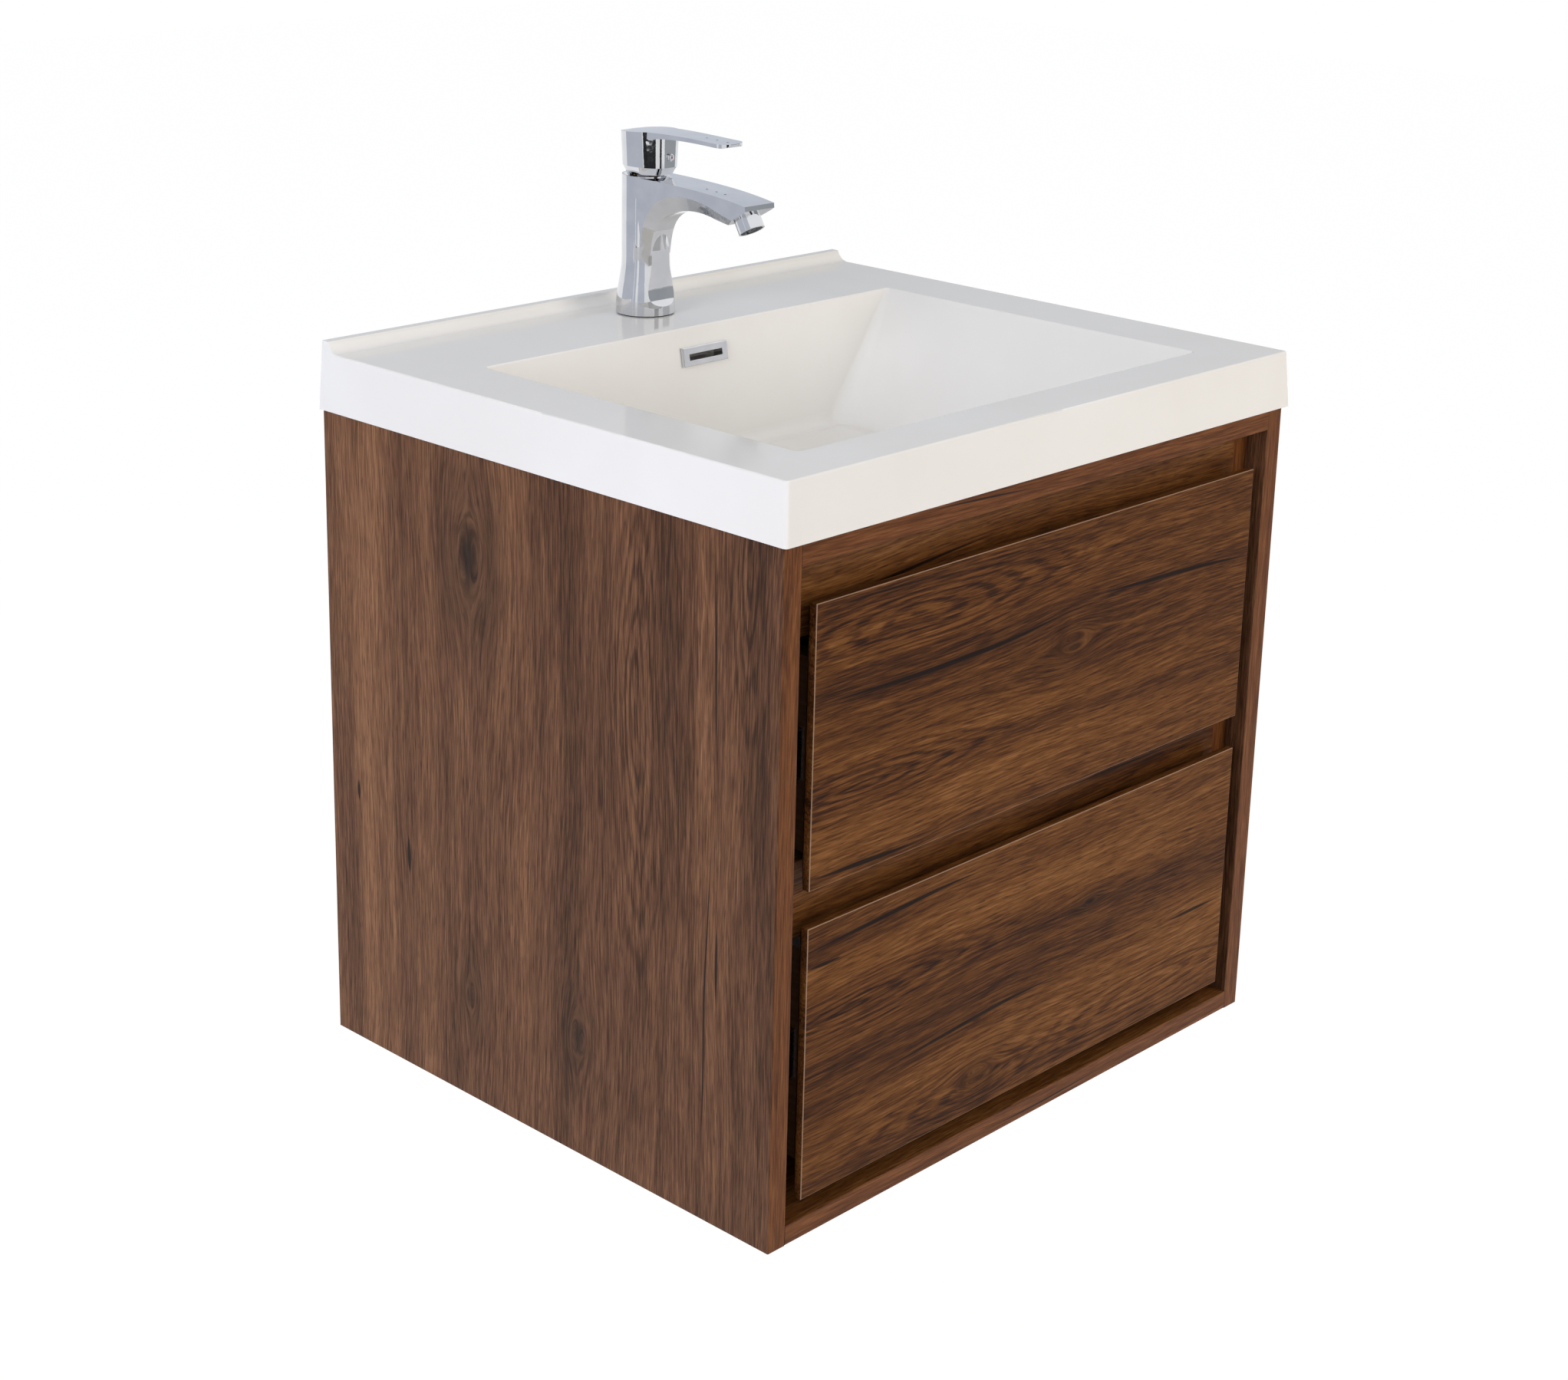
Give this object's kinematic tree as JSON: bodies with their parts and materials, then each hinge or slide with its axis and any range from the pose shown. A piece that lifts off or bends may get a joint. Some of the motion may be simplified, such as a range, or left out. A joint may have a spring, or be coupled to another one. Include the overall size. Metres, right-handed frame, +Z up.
{
  "type": "wall-hung bathroom vanity",
  "caption": "Wall-hung vanity in dark walnut laminate with handle-free drawers under a white top with a sunk rectangular basin, pop-up waste and chrome single-lever mixer tap.",
  "frame": {"origin": "on the wall, midway between the two upper wall fixings, on the hanging rail's back face", "axes": "+X to the right seen from the front, +Y into the wall so the drawers open along -Y, +Z up"},
  "size_m": [0.6, 0.51, 0.7424],
  "materials": {
    "walnut_laminate": "dark walnut laminate with an embossed grain, satin",
    "drawer_board": "light melamine-faced board, matt",
    "beech_peg": "plain beech",
    "white_resin": "glossy white",
    "chrome": "mirror-polished chrome plate",
    "zinc_steel": "bright zinc-plated steel",
    "brass": "plain machined brass",
    "black_rubber": "matt black",
    "cartridge_plastic": "light grey moulded plastic",
    "nut_plastic": "white moulded plastic",
    "indicator_plastic": "dark moulded plastic"
  },
  "bodies": {
    "cabinet": {"left_side_panel": "walnut_laminate", "right_side_panel": "walnut_laminate", "bottom_panel": "walnut_laminate", "top_front_rail": "walnut_laminate", "upper_recess_rail": "walnut_laminate", "middle_recess_rail": "walnut_laminate", "left_filler_panel": "walnut_laminate", "right_filler_panel": "walnut_laminate", "hanging_rail": "walnut_laminate", "lower_back_rail": "walnut_laminate", "corner_blocks": "drawer_board", "upper_slide_cabinet_rails": "zinc_steel", "lower_slide_cabinet_rails": "zinc_steel", "cabinet_dowels": "beech_peg", "slide_screws": "zinc_steel", "basin_top": "white_resin", "overflow_trim": "chrome", "drain_body": "chrome", "drain_tailpiece": "chrome", "tap_body": "chrome", "aerator_housing": "chrome", "drain_seals": "black_rubber", "tap_base_seal": "black_rubber", "tap_clamp_seal": "black_rubber", "drain_nut": "nut_plastic", "popup_guide": "cartridge_plastic", "tap_stud": "zinc_steel", "tap_clamp_plate": "zinc_steel", "tap_nut": "brass", "cartridge_housing": "cartridge_plastic", "cartridge_nut": "brass", "inlet_block": "brass", "aerator_insert": "cartridge_plastic"},
    "upper_slide_link": {"upper_slide_middle_rails": "zinc_steel"},
    "lower_slide_link": {"lower_slide_middle_rails": "zinc_steel"},
    "upper_drawer": {"upper_drawer_front": "walnut_laminate", "upper_drawer_left_side": "drawer_board", "upper_drawer_right_side": "drawer_board", "upper_drawer_bottom": "drawer_board", "upper_drawer_dowels": "beech_peg", "upper_drawer_screws": "zinc_steel", "upper_drawer_back_panels": "drawer_board", "upper_drawer_cutout_sides": "drawer_board", "upper_drawer_cutout_front": "drawer_board", "upper_slide_drawer_rails": "zinc_steel"},
    "lower_drawer": {"lower_drawer_front": "walnut_laminate", "lower_drawer_left_side": "drawer_board", "lower_drawer_right_side": "drawer_board", "lower_drawer_bottom": "drawer_board", "lower_drawer_dowels": "beech_peg", "lower_drawer_screws": "zinc_steel", "lower_drawer_back": "drawer_board", "lower_slide_drawer_rails": "zinc_steel"},
    "tap_rotor": {"cartridge_rotor": "cartridge_plastic", "rotor_pin": "zinc_steel"},
    "tap_lever": {"lever_handle": "chrome", "cartridge_spindle": "brass", "lever_set_screw": "zinc_steel", "indicator_plug": "indicator_plastic"},
    "waste_plug": {"drain_plug": "chrome"}
  },
  "joints": [
    {"name": "upper_drawer_slide", "type": "slide", "parent": "cabinet", "child": "upper_drawer", "axis": [0, -1, 0], "range_m": [0, 0.4]},
    {"name": "upper_link_slide", "type": "slide", "parent": "cabinet", "child": "upper_slide_link", "axis": [0, -1, 0], "range_m": [0, 0.2]},
    {"name": "lower_drawer_slide", "type": "slide", "parent": "cabinet", "child": "lower_drawer", "axis": [0, -1, 0], "range_m": [0, 0.4]},
    {"name": "lower_link_slide", "type": "slide", "parent": "cabinet", "child": "lower_slide_link", "axis": [0, -1, 0], "range_m": [0, 0.2]},
    {"name": "lever_swing", "type": "hinge", "parent": "cabinet", "child": "tap_rotor", "pos_m": [0, -0.0575, 0.197], "axis": [0, 0, 1], "range_deg": [-50, 50]},
    {"name": "lever_lift", "type": "hinge", "parent": "tap_rotor", "child": "tap_lever", "pos_m": [0, -0.0575, 0.208], "axis": [-1, 0, 0], "range_deg": [0, 22]},
    {"name": "plug_lift", "type": "slide", "parent": "cabinet", "child": "waste_plug", "axis": [0, 0, 1], "range_m": [0, 0.008]}
  ],
  "couplings": [
    {"joint": "upper_link_slide", "follows": "upper_drawer_slide", "ratio": 0.5},
    {"joint": "lower_link_slide", "follows": "lower_drawer_slide", "ratio": 0.5}
  ]
}
